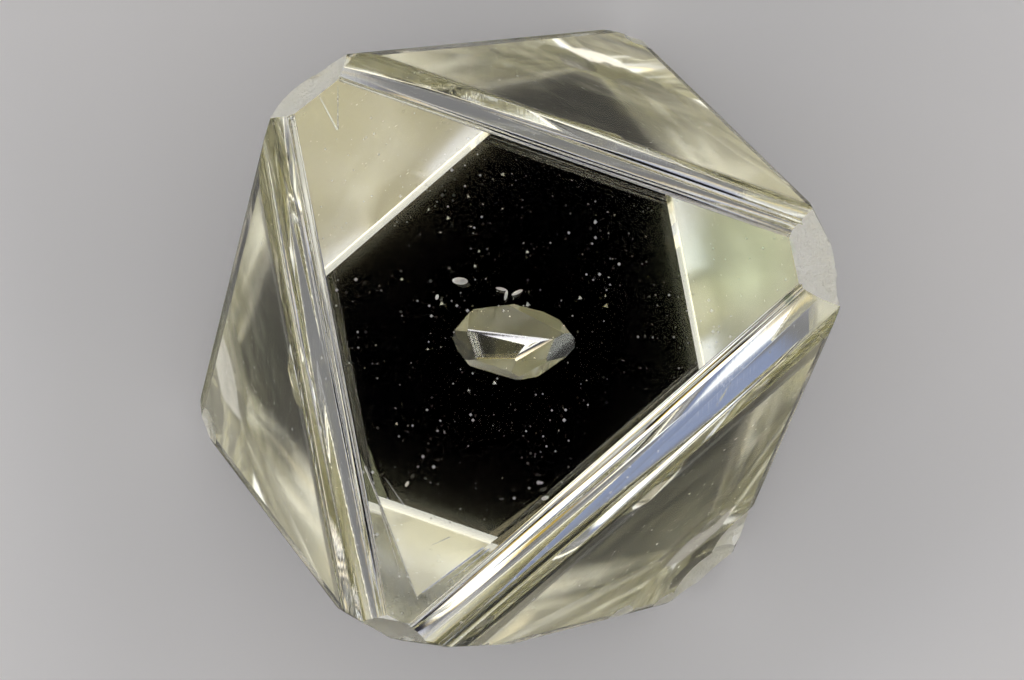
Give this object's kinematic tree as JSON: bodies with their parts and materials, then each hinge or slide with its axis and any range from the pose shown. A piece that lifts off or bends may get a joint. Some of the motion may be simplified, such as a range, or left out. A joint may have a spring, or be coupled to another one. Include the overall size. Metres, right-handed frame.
{
  "type": "rough diamond",
  "caption": "Uncut octahedral diamond crystal lying on a face, with rounded striated edges, chipped corners and a small clear crystal sealed inside.",
  "frame": {"origin": "on the flat back octahedral face that the stone lies on, under the middle of the stone's box", "axes": "+Z out of the front octahedral face, away from the face that it lies on; +X and +Y in that face, as the stone is seen from straight above"},
  "size_m": [0.0044, 0.0042, 0.0027],
  "materials": {
    "diamond": "natural crystal faces, clear with a faint khaki-yellow tint",
    "inclusion": "clear, faintly greenish mineral crystal with bright facets"
  },
  "bodies": {
    "root": {"diamond_upper_half": "diamond", "diamond_lower_half": "diamond", "inclusion": "inclusion"}
  },
  "joints": []
}
